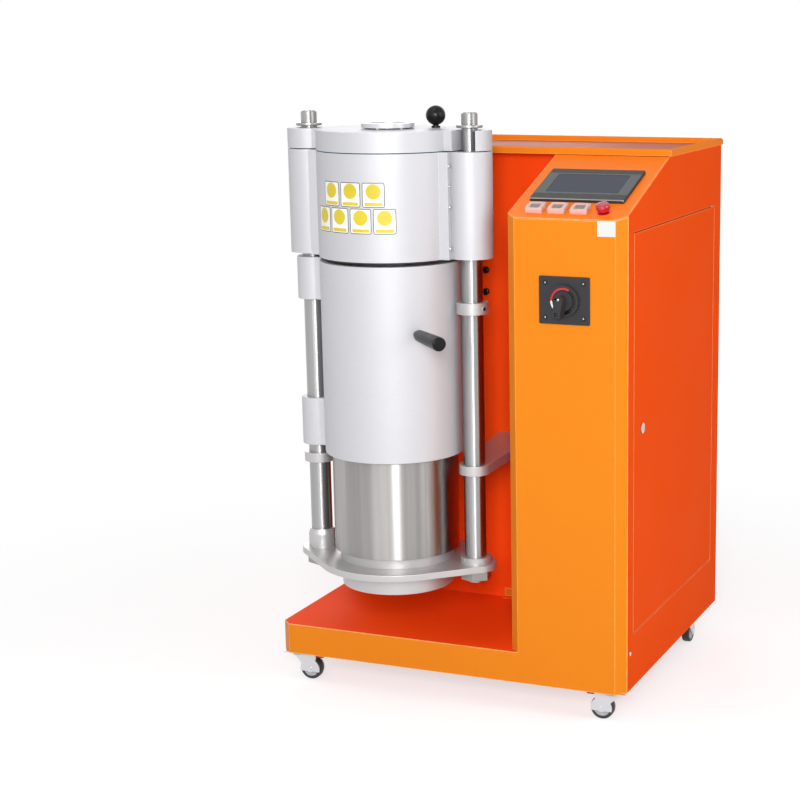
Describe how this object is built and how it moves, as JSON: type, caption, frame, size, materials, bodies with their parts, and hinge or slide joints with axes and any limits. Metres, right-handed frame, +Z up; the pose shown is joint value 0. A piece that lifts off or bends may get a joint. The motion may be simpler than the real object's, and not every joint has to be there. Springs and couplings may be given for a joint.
{
  "type": "vacuum casting machine",
  "caption": "Induction vacuum casting machine: sheet-steel cabinet on casters, control tower, and a lidded melting chamber over a swing-out flask chamber on steel columns.",
  "frame": {"origin": "on the floor under the middle of the machine's bounding box", "axes": "+Z up, -Y towards the operator at the front, +X to the right as seen from the front"},
  "size_m": [0.796, 0.8666, 1.243],
  "materials": {
    "front_paint": "orange powder coat, fine texture",
    "body_paint": "deep orange-red powder coat",
    "cast_alu": "satin machined",
    "steel": "ground and brushed",
    "zinc": "light grey",
    "black_plastic": "matt",
    "black_grip": "matt, smooth",
    "screen": "dark glossy",
    "bezel_plastic": "translucent pinkish white",
    "cap_plastic": "grey",
    "red_plastic": "glossy red",
    "rubber": "matt",
    "teal_seal": "silicone",
    "copper": "drawn copper tube",
    "graphite": "machined graphite",
    "glass": "clear",
    "pump_alu": "painted blue-grey casting",
    "housing": "grey housing",
    "brass": "turned",
    "tread": "moulded"
  },
  "bodies": {
    "cabinet": {"base_plate": "body_paint", "front_panel": "front_paint", "bay_floor": "body_paint", "tower_inner_wall": "body_paint", "bay_back_wall": "body_paint", "right_panel": "body_paint", "left_panel": "body_paint", "back_panel": "body_paint", "control_panel": "front_paint", "top_tray": "front_paint", "hmi_frame": "black_plastic", "hmi_screen": "screen", "button_bezels": "bezel_plastic", "switch_plate": "black_plastic", "cover_screws": "steel", "door_pivots": "steel", "column_left": "steel", "column_right": "steel", "column_nuts": "steel", "column_collars": "cast_alu", "yoke_plate": "cast_alu", "base_ring": "cast_alu", "bottom_cap": "cast_alu", "lift_cylinder": "steel", "wall_braces": "cast_alu", "melting_chamber": "cast_alu", "vessel_seal": "rubber", "lid_seal": "teal_seal", "induction_coil": "copper", "crucible": "graphite", "vacuum_pump": "pump_alu", "power_module": "housing", "service_ports": "brass", "caster_plates": "zinc", "fan_frame": "black_plastic"},
    "lid": {"lid": "cast_alu", "sight_ring": "cast_alu", "sight_glass": "glass", "lid_knob": "black_grip"},
    "ram": {"lift_ram": "steel"},
    "flask": {"flask_chamber": "cast_alu", "flask_handle": "black_grip"},
    "door": {"side_door": "body_paint"},
    "lock": {"door_lock": "steel"},
    "switch": {"switch_handle": "black_plastic"},
    "stop": {"stop_head": "red_plastic"},
    "push_1": {"button_1": "cap_plastic"},
    "push_2": {"button_2": "cap_plastic"},
    "push_3": {"button_3": "cap_plastic"},
    "fan": {"fan_blades": "black_plastic"},
    "swivel_front_right": {"fork_front_right": "zinc"},
    "roller_front_right": {"wheel_front_right": "tread"},
    "swivel_front_left": {"fork_front_left": "zinc"},
    "roller_front_left": {"wheel_front_left": "tread"},
    "swivel_rear_right": {"fork_rear_right": "zinc"},
    "roller_rear_right": {"wheel_rear_right": "tread"},
    "swivel_rear_left": {"fork_rear_left": "zinc"},
    "roller_rear_left": {"wheel_rear_left": "tread"},
    "pedal_right": {"brake_right": "red_plastic"},
    "pedal_left": {"brake_left": "red_plastic"}
  },
  "joints": [
    {"name": "lid_swing", "type": "hinge", "parent": "cabinet", "child": "lid", "pos_m": [-0.306, -0.22968, 1.178], "axis": [0, 0, 1], "range_deg": [0, 100]},
    {"name": "chamber_lift", "type": "slide", "parent": "cabinet", "child": "ram", "axis": [0, 0, 1], "range_m": [0, 0.0055]},
    {"name": "chamber_swing", "type": "hinge", "parent": "ram", "child": "flask", "pos_m": [-0.306, -0.22968, 0.735], "axis": [0, 0, -1], "range_deg": [0, 100]},
    {"name": "door_swing", "type": "hinge", "parent": "cabinet", "child": "door", "pos_m": [0.39, 0.34182, 0.59], "axis": [0, 0, 1], "range_deg": [0, 110]},
    {"name": "lock_turn", "type": "hinge", "parent": "door", "child": "lock", "pos_m": [0.395, -0.16168, 0.6015], "axis": [-1, 0, 0], "range_deg": [0, 90]},
    {"name": "switch_turn", "type": "hinge", "parent": "cabinet", "child": "switch", "pos_m": [0.27, -0.27368, 0.8715], "axis": [0, 1, 0], "range_deg": [0, 90]},
    {"name": "stop_press", "type": "slide", "parent": "cabinet", "child": "stop", "axis": [0, 0.3368, -0.9416], "range_m": [0, 0.0028]},
    {"name": "button_1_press", "type": "slide", "parent": "cabinet", "child": "push_1", "axis": [0, 0.3368, -0.9416], "range_m": [0, 0.0025], "stiffness_N_per_m": 300, "springref_m": -0.001},
    {"name": "button_2_press", "type": "slide", "parent": "cabinet", "child": "push_2", "axis": [0, 0.3368, -0.9416], "range_m": [0, 0.0025], "stiffness_N_per_m": 300, "springref_m": -0.001},
    {"name": "button_3_press", "type": "slide", "parent": "cabinet", "child": "push_3", "axis": [0, 0.3368, -0.9416], "range_m": [0, 0.0025], "stiffness_N_per_m": 300, "springref_m": -0.001},
    {"name": "fan_spin", "type": "hinge", "parent": "cabinet", "child": "fan", "pos_m": [0.245, 0.38632, 0.845], "axis": [0, 1, 0], "continuous": true},
    {"name": "swivel_turn_front_right", "type": "hinge", "parent": "cabinet", "child": "swivel_front_right", "pos_m": [0.364, -0.23668, 0.06], "axis": [0, 0, 1], "continuous": true},
    {"name": "wheel_roll_front_right", "type": "hinge", "parent": "swivel_front_right", "child": "roller_front_right", "pos_m": [0.338, -0.23668, 0.025], "axis": [0, 1, 0], "continuous": true},
    {"name": "swivel_turn_front_left", "type": "hinge", "parent": "cabinet", "child": "swivel_front_left", "pos_m": [-0.364, -0.23668, 0.06], "axis": [0, 0, 1], "continuous": true},
    {"name": "wheel_roll_front_left", "type": "hinge", "parent": "swivel_front_left", "child": "roller_front_left", "pos_m": [-0.338, -0.23668, 0.025], "axis": [0, 1, 0], "continuous": true},
    {"name": "swivel_turn_rear_right", "type": "hinge", "parent": "cabinet", "child": "swivel_rear_right", "pos_m": [0.364, 0.25532, 0.06], "axis": [0, 0, 1], "continuous": true},
    {"name": "wheel_roll_rear_right", "type": "hinge", "parent": "swivel_rear_right", "child": "roller_rear_right", "pos_m": [0.364, 0.28132, 0.025], "axis": [1, 0, 0], "continuous": true},
    {"name": "swivel_turn_rear_left", "type": "hinge", "parent": "cabinet", "child": "swivel_rear_left", "pos_m": [-0.364, 0.25532, 0.06], "axis": [0, 0, 1], "continuous": true},
    {"name": "wheel_roll_rear_left", "type": "hinge", "parent": "swivel_rear_left", "child": "roller_rear_left", "pos_m": [-0.364, 0.28132, 0.025], "axis": [1, 0, 0], "continuous": true},
    {"name": "brake_press_right", "type": "hinge", "parent": "swivel_front_right", "child": "pedal_right", "pos_m": [0.328, -0.23668, 0.054], "axis": [0, -1, 0], "range_deg": [0, 12]},
    {"name": "brake_press_left", "type": "hinge", "parent": "swivel_front_left", "child": "pedal_left", "pos_m": [-0.328, -0.23668, 0.054], "axis": [0, 1, 0], "range_deg": [0, 12]}
  ]
}
